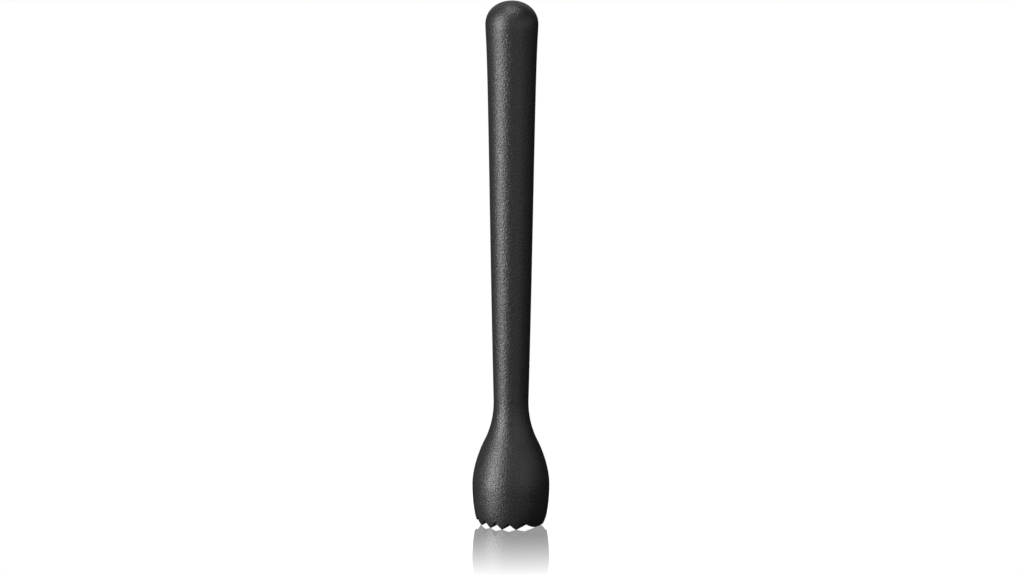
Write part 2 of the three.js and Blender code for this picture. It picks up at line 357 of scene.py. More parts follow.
def head_outline():
    """The head from the foot's rim up to the neck joint: belly, shoulder and concave flank."""
    foot = (FOOT_RADIUS, 0)
    foot_handle = (15.5 * MM, 3.1 * MM)
    belly = (HEAD_RADIUS, HEAD_WIDEST)
    below_belly = (HEAD_RADIUS, 10.3 * MM)
    above_belly = (HEAD_RADIUS, 22 * MM)
    below_flank = (13.7 * MM, 29.6 * MM)
    above_flank = (8.5 * MM, 40 * MM)
    below_neck = (7.2 * MM, 45.8 * MM)
    neck = (NECK_RADIUS, NECK_JOINT)
    return joined(
        bezier(foot, foot_handle, below_belly, belly, HEAD_STEPS),
        bezier(belly, above_belly, below_flank, HEAD_FLANK, HEAD_STEPS),
        bezier(HEAD_FLANK, above_flank, below_neck, neck, HEAD_STEPS),
    )


def handle_outline():
    """The handle from the neck joint up to the cap joint."""
    neck = (NECK_RADIUS, NECK_JOINT)
    above_neck = (9.02 * MM, 121.5 * MM)
    below_shoulder = (9.58 * MM, 189.6 * MM)
    shoulder = (SHOULDER_RADIUS, CAP_JOINT)
    steps = 90
    return bezier(neck, above_neck, below_shoulder, shoulder, steps)


def cap_outline():
    """The cap from its joint up over the dome to the axis."""
    shoulder = (SHOULDER_RADIUS, CAP_JOINT)
    above_shoulder = (10.79 * MM, 208 * MM)
    below_belt = (DOME_RADIUS, 209.4 * MM)
    belt = (DOME_RADIUS, DOME_WIDEST)
    above_belt = (DOME_RADIUS, 216.1 * MM)
    beside_top = (6.15 * MM, TOP)
    shoulder_steps = 8
    dome_steps = 40
    return joined(
        bezier(shoulder, above_shoulder, below_belt, belt, shoulder_steps),
        bezier(belt, above_belt, beside_top, (0, TOP), dome_steps),
    )


# ---- Sizes inside, where one piece fits another --------------------------------------------------

CLEARANCE = 0.3 * MM
ROD_RADIUS = 2.5 * MM
ROD_BORE = ROD_RADIUS + CLEARANCE
HEAD_SPIGOT_RADIUS = 5.2 * MM
HEAD_SPIGOT_TOP = highest("toothed_head")
SPIGOT_FLATS = 8.8 * MM
FLATS_BOTTOM = 56.5 * MM
COUNTERBORE_RADIUS = 6 * MM
COUNTERBORE_FLOOR = lowest("rod_washer")
CAP_SPIGOT_RADIUS = COUNTERBORE_RADIUS - CLEARANCE
CAP_SPIGOT_BOTTOM = lowest("dome_cap")
CAP_CORE_RADIUS = 3.6 * MM
CAP_CORE_TOP = 215 * MM
SEAL_THICKNESS = 1.1 * MM
SEAL_ROOM = 0.1 * MM
SEAL_GROOVE_DEPTH = 1 * MM
HEAD_SEAL_HEIGHT = (lowest("head_seal") + highest("head_seal")) / 2
CAP_SEAL_HEIGHT = (lowest("cap_seal") + highest("cap_seal")) / 2
SNAP_HEIGHT = 198.5 * MM
SNAP_PROUD = 0.5 * MM
SNAP_WIDTH = 2 * MM
INSERT_RADIUS = 4.8 * MM
INSERT_BOTTOM = lowest("head_insert")
INSERT_TOP = highest("head_insert")
THREAD_PITCH = 0.8 * MM
THREAD_DEPTH = 0.45 * MM
THREADED_LENGTH = 8 * MM
MOULDING_STEPS = 192
# Slack for telling one wall of an outline from the next, and the height over which flats start.
WALL_SLACK = 0.01 * MM
FLATS_STEP = 0.02 * MM


def seal_groove(radius, height):
    """Outline of a square-sided groove in a spigot, going up."""
    half = SEAL_THICKNESS / 2 + SEAL_ROOM
    low = height - half
    high = height + half
    floor = radius - SEAL_GROOVE_DEPTH
    return [(radius, low), (floor, low), (floor, high), (radius, high)]


def snap_bead(radius, room):
    """Outline of the snap bead, or of the groove that it clicks into, going up."""
    half = SNAP_WIDTH / 2 + room
    crest = SNAP_WIDTH / 4 + room
    proud = radius + SNAP_PROUD
    return [
        (radius, SNAP_HEIGHT - half), (proud, SNAP_HEIGHT - crest),
        (proud, SNAP_HEIGHT + crest), (radius, SNAP_HEIGHT + half),
    ]


def flatten(radius, height, angle, across, bottom, top):
    """The radius cut back to two flats facing X, between two heights: no more than half the distance across
    them divided by the cosine of the angle."""
    flat = across / 2 / np.maximum(np.abs(np.cos(angle)), 1e-6)
    outside_bore = radius > ROD_BORE + 0.1 * MM
    inside = (height > bottom) & (height < top) & outside_bore
    return np.where(inside, np.minimum(radius, flat), radius)


# ---- The head ------------------------------------------------------------------------------------


def ridge_height(x, sizes):
    """Height of the foot across the ridges: a zigzag that is 0 on the lands at the tips, rises evenly to the
    ridge depth on each whole pitch from the axis, and stays 0 past the last valley."""
    valley = np.round(x / sizes.ridge_pitch)
    from_valley = np.abs(x - valley * sizes.ridge_pitch)
    flank = (sizes.ridge_pitch - sizes.ridge_land) / 2
    height = np.clip(1 - from_valley / flank, 0, 1) * sizes.ridge_depth
    return np.where(np.abs(valley) > sizes.valleys_each_side, 0, height)


def rim_of_foot(sizes, outline):
    """Angles over half a turn, and the rim's radius and height there. Angles fall on every ridge and valley
    line, with even steps between. The rim is where the zigzag meets the outline, found by repeated
    substitution."""
    step = math.radians(1.6)
    substitutions = 80
    reach = sizes.valleys_each_side
    valleys = np.arange(-reach, reach + 1) * sizes.ridge_pitch
    tips = (np.arange(-reach - 1, reach + 1) + 0.5) * sizes.ridge_pitch
    lands = np.concatenate([tips - sizes.ridge_land / 2, tips + sizes.ridge_land / 2])
    deep = np.interp(sizes.ridge_depth, outline[:, 1], outline[:, 0])
    ends = [0, math.pi]
    lines = np.sort(np.concatenate([np.arccos(valleys / deep), np.arccos(lands / FOOT_RADIUS), ends]))
    counts = np.maximum(np.ceil(np.diff(lines) / step).astype(int), 1)
    spans = [np.linspace(a, b, n, endpoint=False) for a, b, n in zip(lines[:-1], lines[1:], counts)]
    angles = np.concatenate([*spans, [math.pi]])
    height = np.zeros_like(angles)
    for _ in range(substitutions):
        radius = np.interp(height, outline[:, 1], outline[:, 0])
        height = ridge_height(radius * np.cos(angles), sizes)
    return angles, radius, height


def head_surfaces(sizes):
    """The head as two surfaces that share the foot's rim: the foot, ruled along Y between opposite points of
    the rim, and the turned wall with the spigot, the bore and the insert's pocket. Below the blend height the
    wall's rings are lifted by a share of the rim's height, which falls evenly from 1 at the rim to 0."""
    blend_height = 6 * MM
    outline = head_outline()
    half_angles, half_radius, half_height = rim_of_foot(sizes, outline)
    angles = np.concatenate([half_angles, -half_angles[-2:0:-1]])
    rim_height = np.concatenate([half_height, half_height[-2:0:-1]])
    top = HEAD_SPIGOT_TOP
    pocket = INSERT_RADIUS + CLEARANCE
    pocket_top = INSERT_TOP + CLEARANCE
    pocket_floor = INSERT_BOTTOM - CLEARANCE
    inside = [
        (HEAD_SPIGOT_RADIUS, NECK_JOINT),
        *seal_groove(HEAD_SPIGOT_RADIUS, HEAD_SEAL_HEIGHT),
        (HEAD_SPIGOT_RADIUS, FLATS_BOTTOM), (HEAD_SPIGOT_RADIUS, FLATS_BOTTOM + FLATS_STEP),
        (HEAD_SPIGOT_RADIUS, top), (ROD_BORE, top),
        (ROD_BORE, pocket_top), (pocket, pocket_top), (pocket, pocket_floor), (0, pocket_floor),
    ]
    path = softened(joined(outline, inside), sizes.joint_edge)

    def wall(radius, height, angle):
        outer = height < blend_height
        share = np.clip(1 - height / blend_height, 0, 1)
        lifted = height + rim_height[None, :] * share
        follows = np.interp(lifted, outline[:, 1], outline[:, 0])
        radius = np.where(outer, follows, radius)
        height = np.where(outer, lifted, height)
        radius = flatten(radius, height, angle, SPIGOT_FLATS, FLATS_BOTTOM + WALL_SLACK, top + MM)
        return radius, height

    across = half_radius * np.cos(half_angles)
    reach = half_radius * np.sin(half_angles)
    along = np.linspace(-1, 1, 13)
    points = np.stack([
        np.repeat(across[:, None], len(along), 1),
        reach[:, None] * along[None, :],
        np.repeat(half_height[:, None], len(along), 1),
    ], -1).reshape(-1, 3)
    row = np.arange(len(across) - 1)[:, None] * len(along)
    column = np.arange(len(along) - 1)[None, :]
    start = row + column
    beyond = start + len(along)
    quads = np.stack([start, start + 1, beyond + 1, beyond], -1).reshape(-1, 4)
    foot = (points, quads, np.empty((0, 3), int))
    return [turned_surface(path, angles, wall), foot]


def round_foot_edges(piece, sizes):
    """Rounds the ridges, valleys and rim with a bevel on the foot's sharp edges only."""
    mesh = piece.data
    sharp = np.zeros(len(mesh.edges), bool)
    mesh.attributes["sharp_edge"].data.foreach_get("value", sharp)
    ends = np.empty(len(mesh.edges) * 2, np.int32)
    mesh.edges.foreach_get("vertices", ends)
    places = np.empty(len(mesh.vertices) * 3, np.float32)
    mesh.vertices.foreach_get("co", places)
    heights = places.reshape(-1, 3)[:, 2]
    low = heights[ends.reshape(-1, 2)].max(1) < sizes.ridge_depth + 0.05 * MM
    weights = mesh.attributes.new("bevel_weight_edge", "FLOAT", "EDGE")
    weights.data.foreach_set("value", (sharp & low).astype(np.float32))
    mesh.attributes["sharp_edge"].data.foreach_set("value", sharp & ~low)
    bevel = piece.modifiers.new("foot edges", "BEVEL")
    bevel.limit_method = "WEIGHT"
    bevel.width = sizes.foot_edge
    bevel.segments = 3
    shading = piece.modifiers.new("flat flanks", "WEIGHTED_NORMAL")
    shading.keep_sharp = True


# ---- The handle and the cap ----------------------------------------------------------------------


def handle_surface(sizes):
    """The handle as one closed turned surface: up the outside, over the cap joint, down the counterbore and
    the rod's bore, and out of the spigot's socket."""
    socket_top = HEAD_SPIGOT_TOP + CLEARANCE
    socket = HEAD_SPIGOT_RADIUS + CLEARANCE
    flats_from = FLATS_BOTTOM + CLEARANCE
    inside = [
        (COUNTERBORE_RADIUS, CAP_JOINT),
        *snap_bead(COUNTERBORE_RADIUS, CLEARANCE)[::-1],
        (COUNTERBORE_RADIUS, COUNTERBORE_FLOOR), (ROD_BORE, COUNTERBORE_FLOOR),
        (ROD_BORE, socket_top), (socket, socket_top),
        (socket, flats_from + FLATS_STEP), (socket, flats_from),
        (socket, NECK_JOINT),
    ]
    path = softened(joined(handle_outline(), inside), sizes.joint_edge, closed=True)

    def flats(radius, height, angle):
        across = SPIGOT_FLATS + 2 * CLEARANCE
        top = socket_top + WALL_SLACK
        inner = (height < top) & (radius < socket + WALL_SLACK)
        cut = flatten(radius, height, angle, across, flats_from + WALL_SLACK, top)
        return np.where(inner, cut, radius), height

    return [turned_surface(path, even_turn(MOULDING_STEPS), flats, closed=True)]


def cap_surface(sizes):
    """The cap as one turned surface from the pole inside its core, down the core, round the spigot's end, up
    the spigot past the snap bead and the seal groove, over the joint and up to the pole of the dome."""
    core_top = (0, CAP_CORE_TOP)
    beside_top = (2 * MM, CAP_CORE_TOP)
    above_wall = (CAP_CORE_RADIUS, CAP_CORE_TOP - 1.6 * MM)
    core_wall = (CAP_CORE_RADIUS, CAP_CORE_TOP - CAP_CORE_RADIUS)
    core_steps = 10
    core = bezier(core_top, beside_top, above_wall, core_wall, core_steps)
    spigot = [
        (CAP_CORE_RADIUS, CAP_SPIGOT_BOTTOM), (CAP_SPIGOT_RADIUS, CAP_SPIGOT_BOTTOM),
        *snap_bead(CAP_SPIGOT_RADIUS, 0),
        *seal_groove(CAP_SPIGOT_RADIUS, CAP_SEAL_HEIGHT),
        (CAP_SPIGOT_RADIUS, CAP_JOINT),
    ]
    path = softened(joined(core, spigot, cap_outline()), sizes.joint_edge)
    return [turned_surface(path, even_turn(MOULDING_STEPS))]


# ---- The pieces inside ---------------------------------------------------------------------------


def helix(height, angle, start, end):
    """A screw thread as a share of its depth: 0 at the crest and 1 at the root of a triangle wave that climbs
    one pitch a turn, faded out over one pitch at each end."""
    phase = (height - start) / THREAD_PITCH - angle / TURN
    wave = np.abs(2 * (phase - np.floor(phase)) - 1)
    fade = np.clip(np.minimum(height - start, end - height) / THREAD_PITCH, 0, 1)
    return wave * fade


def straight(radius, start, end, steps):
    """Points evenly spaced between two heights at one radius."""
    return np.column_stack([np.full(steps, radius), np.linspace(start, end, steps)])


def rod_surface():
    """The tie rod from pole to pole, with a helical thread cut into both ends."""
    bottom = lowest("tie_rod")
    top = highest("tie_rod")
    chamfer = 0.5 * MM
    lower_end = bottom + THREADED_LENGTH
    upper_start = top - THREADED_LENGTH
    thread_steps = 96
    steps_round = 48
    path = joined(
        [(0, bottom), (ROD_RADIUS - chamfer, bottom)],
        straight(ROD_RADIUS, bottom + chamfer, lower_end, thread_steps),
        straight(ROD_RADIUS, upper_start, top - chamfer, thread_steps),
        [(ROD_RADIUS - chamfer, top), (0, top)],
    )

    def threads(radius, height, angle):
        root = helix(height, angle, bottom, lower_end) + helix(height, angle, upper_start, top)
        return radius - np.where(radius > ROD_RADIUS - WALL_SLACK, root * THREAD_DEPTH, 0), height

    return [turned_surface(path, even_turn(steps_round), threads)]


def insert_surface():
    """The brass insert, a closed turned surface: two bands of crossed knurling with a waist between, and a
    threaded bore. The knurl's depth is 1 less the product of two sines that lean opposite ways."""
    waist = 4.1 * MM
    waist_half = 1.2 * MM
    edge = 0.4 * MM
    knurl_depth = 0.3 * MM
    teeth = 36
    middle = (INSERT_BOTTOM + INSERT_TOP) / 2
    band_steps = 30
    bore_steps = 120
    steps_round = 8 * teeth
    path = joined(
        [(INSERT_RADIUS - edge, INSERT_BOTTOM)],
        straight(INSERT_RADIUS, INSERT_BOTTOM + edge, middle - waist_half - edge, band_steps),
        [(waist, middle - waist_half), (waist, middle + waist_half)],
        straight(INSERT_RADIUS, middle + waist_half + edge, INSERT_TOP - edge, band_steps),
        [(INSERT_RADIUS - edge, INSERT_TOP)],
        straight(ROD_BORE, INSERT_TOP, INSERT_BOTTOM, bore_steps),
    )

    def knurl(radius, height, angle):
        lean = (height - middle) / INSERT_RADIUS * teeth
        one_way = np.abs(np.sin((angle * teeth + lean) / 2))
        other_way = np.abs(np.sin((angle * teeth - lean) / 2))
        outer = radius > INSERT_RADIUS - WALL_SLACK
        bored = radius < ROD_BORE + WALL_SLACK
        thread = helix(height, angle, INSERT_BOTTOM, INSERT_TOP) * THREAD_DEPTH
        cut = np.where(outer, (1 - one_way * other_way) * knurl_depth, 0)
        return radius - cut + np.where(bored, thread, 0), height

    return [turned_surface(path, even_turn(steps_round), knurl, closed=True)]


def washer_surface():
    """The washer as a closed turned surface with rounded edges."""
    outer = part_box("rod_washer")[1].x
    bottom = lowest("rod_washer")
    top = highest("rod_washer")
    edge = 0.15 * MM
    steps_round = 96
    section = np.array([(outer, bottom), (outer, top), (ROD_BORE, top), (ROD_BORE, bottom)])
    return [turned_surface(softened(section, edge, closed=True), even_turn(steps_round), closed=True)]


def nut_surface():
    """The hexagon nut as a closed turned surface: the radius is half the width across flats divided by the
    cosine of the angle from the nearest flat's middle, and cones cut back its corners at both ends."""
    bottom = lowest("rod_nut")
    top = highest("rod_nut")
    half_flats = 4 * MM
    corner = half_flats / math.cos(math.pi / 6)
    cone = 0.5 * MM
    cone_slope = 1.2
    side_steps = 25
    bore_steps = 60
    steps_round = 144
    path = joined(
        straight(corner, bottom, top, side_steps),
        straight(ROD_BORE, top, bottom, bore_steps),
    )

    def hexagon(radius, height, angle):
        from_flat = np.mod(angle, math.pi / 3) - math.pi / 6
        flats = half_flats / np.cos(from_flat)
        end = np.minimum(height - bottom, top - height)
        chamfered = np.minimum(flats, corner - np.clip(cone - end, 0, None) * cone_slope)
        bored = radius < ROD_BORE + WALL_SLACK
        thread = helix(height, angle, bottom, top) * THREAD_DEPTH
        return np.where(bored, radius + thread, chamfered), height

    return [turned_surface(path, even_turn(steps_round), hexagon, closed=True)]


def seal_surface(spigot_radius, height):
    """A seal ring: a circle of the seal's thickness carried round the axis."""
    centre = spigot_radius + (CLEARANCE - SEAL_GROOVE_DEPTH) / 2
    section_steps = 20
    steps_round = 96
    section = even_turn(section_steps)
    path = np.column_stack([
        centre + SEAL_THICKNESS / 2 * np.cos(section),
        height + SEAL_THICKNESS / 2 * np.sin(section),
    ])
    return [turned_surface(path, even_turn(steps_round), closed=True)]


# ---- Shader expressions --------------------------------------------------------------------------


class Value:
    """A shader socket that can be used in arithmetic. Each operation adds a Math node to its tree."""

    def __init__(self, tree, socket):
        self.tree = tree
        self.socket = socket

    def math(self, operation, *others):
        """The result of a Math node on this value and others, which may be values or numbers."""
        made = self.tree.nodes.new("ShaderNodeMath")
        made.operation = operation
        for place, given in zip(made.inputs, (self, *others)):
            if isinstance(given, Value):
                self.tree.links.new(given.socket, place)
            else:
                place.default_value = given
        return Value(self.tree, made.outputs[0])

    def beside(self, number):
        """Another output of the node that this value comes from."""
        return Value(self.tree, self.socket.node.outputs[number])

    def __add__(self, other):
        return self.math("ADD", other)

    __radd__ = __add__

    def __mul__(self, other):
        return self.math("MULTIPLY", other)

    __rmul__ = __mul__

    def __sub__(self, other):
        return self.math("SUBTRACT", other)

    def __rsub__(self, other):
        return (self * -1) + other

    def __truediv__(self, other):
        return self.math("DIVIDE", other)

    def __pow__(self, other):
        return self.math("POWER", other)


class Shading:
    """The node tree of a material or a world under construction, whose nodes are added by type."""

    def __init__(self, owner):
        owner.use_nodes = True
        self.owner = owner
        self.tree = owner.node_tree
        self.tree.nodes.clear()

    def node(self, kind, settings=None, output=0, **sockets):
        """Adds a node of a type, with its settings first and then the values or links of its sockets, named
        by their labels or identifiers with _ for a space. Returns one of its outputs, if it has any."""
        made = self.tree.nodes.new(kind)
        for name, setting in (settings or {}).items():
            setattr(made, name, setting)
        for name, given in sockets.items():
            names = {name, name.replace("_", " ")}
            place = next(s for s in made.inputs if s.enabled and names & {s.name, s.identifier})
            if isinstance(given, Value):
                self.tree.links.new(given.socket, place)
            else:
                place.default_value = given
        return Value(self.tree, made.outputs[output]) if made.outputs else None

    def ramp(self, value, low, high):
        """The value stretched so that low becomes 0 and high becomes 1, held between them."""
        return self.node("ShaderNodeMapRange", Value=value, From_Min=low, From_Max=high)

    def blend(self, factor, first, second):
        """A colour between two colours."""
        return self.node("ShaderNodeMix", {"data_type": "RGBA"}, output=2, Factor=factor, A=first, B=second)

    def mix_shaders(self, factor, first, second):
        """A shader between two shaders."""
        return self.node("ShaderNodeMixShader", Fac=factor, Shader=first, Shader_001=second)

    def place(self):
        """Where the surface is, in the object's own coordinates, in metres."""
        return self.node("ShaderNodeTexCoord", output=3)

    def finish(self, shader):
        """Sends a shader to the material's surface and returns the material."""
        self.node("ShaderNodeOutputMaterial", Surface=shader)
        return self.owner


def shade(colour, share):
    """A colour made lighter or darker, with an alpha of 1."""
    return (*(share * part for part in colour), 1)


def grained_plastic(settings):
    """Black plastic from a spark-eroded mould: rounded pits with a finer tooth between them, duller on their
    crests, with painted shade that makes the colour darker in the pits and lighter on the crests, and broad
    faint changes of gloss from handling."""
    look = Shading(bpy.data.materials.new("grained_black_plastic"))
    where = look.place()
    size = settings.grain_size
    coarse = look.node(
        "ShaderNodeTexNoise", Vector=where, Scale=1 / size, Detail=2.0, Roughness=0.6, Distortion=0.3,
    )
    fine = look.node("ShaderNodeTexNoise", Vector=where, Scale=2.6 / size, Detail=2.0, Roughness=0.7)
    broad = look.node("ShaderNodeTexNoise", Vector=where, Scale=60.0, Detail=3.0, Roughness=0.55)
    crest = look.ramp(coarse, 0.28, 0.72)
    crest_share = 0.7
    relief = crest * crest_share + fine * (1 - crest_share)
    normal = look.node(
        "ShaderNodeBump", Strength=1.0, Distance=settings.grain_depth, Height=relief,
    )
    # Painted shade: the base colour follows the grain's height, darker in the pits and lighter on the crests.
    colour = look.blend(
        relief, shade(settings.plastic_colour, 0.75), shade(settings.plastic_colour, 1.35),
    )
    handled = look.ramp(broad, 0.3, 0.7)
    handling = 0.06
    tooth = 0.1
    smoothest = settings.plastic_roughness - (handling + tooth) / 2
    roughness = handled * handling + fine * tooth + smoothest
    shader = look.node(
        "ShaderNodeBsdfPrincipled", Base_Color=colour, Roughness=roughness, IOR=1.5, Normal=normal,
    )
    return look.finish(shader)


def drawn_steel():
    """Bare drawn steel: fine scratches along the axis and slight tarnish."""
    look = Shading(bpy.data.materials.new("drawn_steel"))
    stretched = look.node("ShaderNodeMapping", Vector=look.place(), Scale=(3000, 3000, 90))
    scratches = look.node("ShaderNodeTexNoise", Vector=stretched, Scale=1.0, Detail=3.0)
    tarnish = look.node("ShaderNodeTexNoise", Vector=look.place(), Scale=180.0, Detail=3.0)
    colour = look.blend(tarnish, (0.5, 0.5, 0.5, 1), (0.66, 0.65, 0.63, 1))
    normal = look.node("ShaderNodeBump", Strength=0.4, Distance=0.01 * MM, Height=scratches)
    shader = look.node(
        "ShaderNodeBsdfPrincipled", Base_Color=colour, Metallic=1.0, Roughness=scratches * 0.2 + 0.22,
        Normal=normal,
    )
    return look.finish(shader)


def machined_brass():
    """Machined brass: turning marks round the axis and a warm, slightly uneven colour."""
    look = Shading(bpy.data.materials.new("machined_brass"))
    stretched = look.node("ShaderNodeMapping", Vector=look.place(), Scale=(150, 150, 4000))
    marks = look.node("ShaderNodeTexNoise", Vector=stretched, Scale=1.0, Detail=2.0)
    patches = look.node("ShaderNodeTexNoise", Vector=look.place(), Scale=250.0, Detail=2.0)
    colour = look.blend(patches, (0.56, 0.38, 0.14, 1), (0.7, 0.52, 0.24, 1))
    normal = look.node("ShaderNodeBump", Strength=0.4, Distance=0.01 * MM, Height=marks)
    shader = look.node(
        "ShaderNodeBsdfPrincipled", Base_Color=colour, Metallic=1.0, Roughness=marks * 0.15 + 0.25,
        Normal=normal,
    )
    return look.finish(shader)


def seal_rubber():
    """Smooth moulded rubber with a faint bloom."""
    look = Shading(bpy.data.materials.new("seal_rubber"))
    bloom = look.node("ShaderNodeTexNoise", Vector=look.place(), Scale=700.0, Detail=3.0)
    colour = look.blend(bloom, (0.016, 0.016, 0.016, 1), (0.04, 0.04, 0.042, 1))
    normal = look.node("ShaderNodeBump", Strength=0.3, Distance=0.01 * MM, Height=bloom)
    shader = look.node(
        "ShaderNodeBsdfPrincipled", Base_Color=colour, Roughness=bloom * 0.15 + 0.55, Normal=normal,
    )
    return look.finish(shader)


# Distances to the side between which the mirror's corners are cut off, how steeply, and how many scallops.
CORNER_START = 11 * MM
CORNER_END = 15.4 * MM
CORNER_SLOPE = 3.6
SCALLOPS = 5


def mirrored_floor(stage):
    """A white floor that glows by itself and mirrors what stands on it. The mirror starts at the foot, on
    the edge of an ellipse: half its depth times the square root of 1 less the square of the share of its half
    width. Between the corner's start and end a steep line takes the ellipse's place where it is farther out.
    Scallops beside the valleys, a triangle wave, move the start farther out. The mirror fades away with the
    distance from the axis. All of it is lined up with the way that the camera faces."""
    start_softness = 0.4 * MM
    fade_power = 1.3
    look = Shading(bpy.data.materials.new("white_floor"))
    place = look.place()
    distance = look.node("ShaderNodeVectorMath", {"operation": "LENGTH"}, output=1, Vector=place)
    x = look.node("ShaderNodeSeparateXYZ", Vector=place)
    y = x.beside(1)
    turned_cos = math.cos(stage.camera_azimuth)
    turned_sin = math.sin(stage.camera_azimuth)
    side = x * turned_cos + y * turned_sin
    front = x * turned_sin - y * turned_cos
    round_share = 1 - (side / stage.mirror_side) ** 2
    edge = round_share.math("MAXIMUM", 0.0) ** 0.5 * FOOT_RADIUS
    aside = side.math("ABSOLUTE")
    corner = (aside - CORNER_START) * CORNER_SLOPE * aside.math("LESS_THAN", CORNER_END)
    across = side * turned_cos + edge * turned_sin
    pitches = across / stage.scallop_pitch
    from_valley = (pitches - pitches.math("ROUND")).math("ABSOLUTE")
    inner = across.math("ABSOLUTE").math("LESS_THAN", stage.scallop_pitch * SCALLOPS / 2)
    scallop = (1 - from_valley * 2) * inner * stage.scallop_depth
    past_start = front.math("ABSOLUTE") - edge.math("MAXIMUM", corner) - scallop
    start = look.ramp(past_start, -start_softness, 0.0)
    faded = look.ramp(distance, stage.mirror_full, stage.mirror_end) ** fade_power
    mirror = look.node("ShaderNodeBsdfGlossy", Roughness=0.0, Color=(1, 1, 1, 1))
    white = look.node("ShaderNodeEmission", Color=(1, 1, 1, 1), Strength=1.0)
    polish = start * (1 - faded) * stage.floor_gloss
    return look.finish(look.mix_shaders(polish, white, mirror))


def material_for(name, maker, *settings):
    """The named material, made the first time that it is asked for."""
    return bpy.data.materials.get(name) or maker(*settings)


# ---- Floor, lights and camera --------------------------------------------------------------------


LIGHT_DISTANCE = 1.2
CARD_DISTANCE = 2.4
CARD_SIZE = (3.6, 3.4)
CARD_ELEVATION = 0.3
CARD_BRIGHTNESS = 1.06
CARDS = 6
FLOOR_REACH = 6.0
ROOM_GLOW = 0.02
AIM_HEIGHT = 100.3 * MM
SENSOR_WIDTH = 36
LENS = 170.5
FARTHEST_SEEN = 50


def direction(azimuth, elevation):
    """A unit vector from the axis towards an azimuth and an elevation; azimuth 0 is towards -Y."""
    flat = math.cos(elevation)
    return Vector((math.sin(azimuth) * flat, -math.cos(azimuth) * flat, math.sin(elevation)))


def soft_light(name, azimuth, elevation, size, power):
    """A rectangular softbox of a width and a height, standing LIGHT_DISTANCE from the middle of the object
    and facing it."""
    data = bpy.data.lights.new(name, "AREA")
    data.shape = "RECTANGLE"
    data.size, data.size_y = size
    data.energy = power
    light = bpy.data.objects.new(name, data)
    away = direction(azimuth, elevation)
    light.location = Vector((0, 0, TOP / 2)) + away * LIGHT_DISTANCE
    light.rotation_euler = (-away).to_track_quat("-Z", "Y").to_euler()
    bpy.context.scene.collection.objects.link(light)
    return light


def white_card(name, azimuth, elevation, only_floor):
    """A large white card that only the floor's mirror shows, so that the mirror looks white wherever it
    doesn't show the object. Its power is its brightness times pi and its area."""
    width, height = CARD_SIZE
    card = soft_light(name, azimuth, elevation, CARD_SIZE, CARD_BRIGHTNESS * math.pi * width * height)
    card.location = direction(azimuth, elevation) * CARD_DISTANCE
    card.light_linking.receiver_collection = only_floor


def make_floor(stage):
    """The white floor, which neither lights nor shades the object and isn't mirrored in it."""
    mesh = bpy.data.meshes.new("floor")
    far = FLOOR_REACH
    corners = [(-far, -far, 0), (far, -far, 0), (far, far, 0), (-far, far, 0)]
    mesh.from_pydata(corners, [], [(0, 1, 2, 3)])
    mesh.materials.append(mirrored_floor(stage))
    floor = bpy.data.objects.new("floor", mesh)
    bpy.context.scene.collection.objects.link(floor)
    floor.visible_diffuse = False
    floor.visible_glossy = False
    floor.visible_shadow = False
    return floor


def make_lights(stage):
    """The softboxes round the object: the key with its core and its upper part on the left, one on top, weak
    ones on the right and two behind."""
    view = stage.camera_azimuth
    left = view - math.radians(58)
    behind = view + math.pi
    soft_light("key softbox", left, math.radians(5), (0.2, 1.0), stage.key_strength)
    soft_light("key core", left, math.radians(-5), (0.15, 0.6), stage.core_strength)
    soft_light("upper key", left, math.radians(35), (0.25, 0.5), stage.upper_strength)
    soft_light("top light", left, math.radians(86), (0.4, 0.4), stage.top_strength)
    soft_light("back light", behind, math.radians(72), (0.5, 0.5), stage.back_strength)
    soft_light("fill light", view + math.radians(36), math.radians(8), (1.1, 1.0), stage.fill_strength)
    soft_light("right light", view + math.radians(80), math.radians(15), (0.8, 0.8), stage.right_strength)
    soft_light("light behind", behind, math.radians(30), (1.4, 1.0), stage.around_strength)


def make_cards(stage, floor):
    """A ring of white cards and a white ceiling, which light nothing but the floor."""
    behind = stage.camera_azimuth + math.pi
    only_floor = bpy.data.collections.new("lit by the white cards")
    only_floor.objects.link(floor)
    for number in range(CARDS):
        azimuth = behind + number * TURN / CARDS
        white_card(f"white card {number + 1}", azimuth, CARD_ELEVATION, only_floor)
    white_card("white ceiling", stage.camera_azimuth, math.pi / 2, only_floor)


def make_room():
    """A world that looks white and lights the object only faintly."""
    world = bpy.data.worlds.new("white room")
    bpy.context.scene.world = world
    room = Shading(world)
    seen = room.node("ShaderNodeLightPath")
    white = room.node("ShaderNodeBackground", Color=(1, 1, 1, 1))
    dim = room.node("ShaderNodeBackground", Color=(ROOM_GLOW, ROOM_GLOW, ROOM_GLOW, 1))
    room.node("ShaderNodeOutputWorld", Surface=room.mix_shaders(seen, dim, white))
    bpy.context.scene.view_settings.view_transform = "Standard"


def make_camera(stage):
    """The camera, looking at a point on the axis."""
    data = bpy.data.cameras.new("camera")
    data.sensor_width = SENSOR_WIDTH
    data.lens = LENS
    data.clip_end = FARTHEST_SEEN
    data.shift_x, data.shift_y = stage.camera_shift
    camera = bpy.data.objects.new("camera", data)
    back = direction(stage.camera_azimuth, stage.camera_elevation)
    camera.location = Vector((0, 0, AIM_HEIGHT)) + back * stage.camera_distance
    camera.rotation_euler = (-back).to_track_quat("-Z", "Y").to_euler()
    camera.rotation_euler.rotate_axis("Z", stage.camera_roll)
    bpy.context.scene.collection.objects.link(camera)
    bpy.context.scene.camera = camera


# ---- Operators -----------------------------------------------------------------------------------


class MUDDLER_OT_head(bpy.types.Operator):
    """Builds the onion-shaped head with its ridged foot and its spigot."""

    bl_idname = "muddler.head"
    bl_label = "Head"

    def execute(self, context):
        sizes = context.scene.muddler_sizes
        plastic = material_for("grained_black_plastic", grained_plastic, context.scene.muddler_finish)
        piece = make_piece("head_moulding", head_surfaces(sizes), plastic, "toothed_head")
        round_foot_edges(piece, sizes)
        return {"FINISHED"}


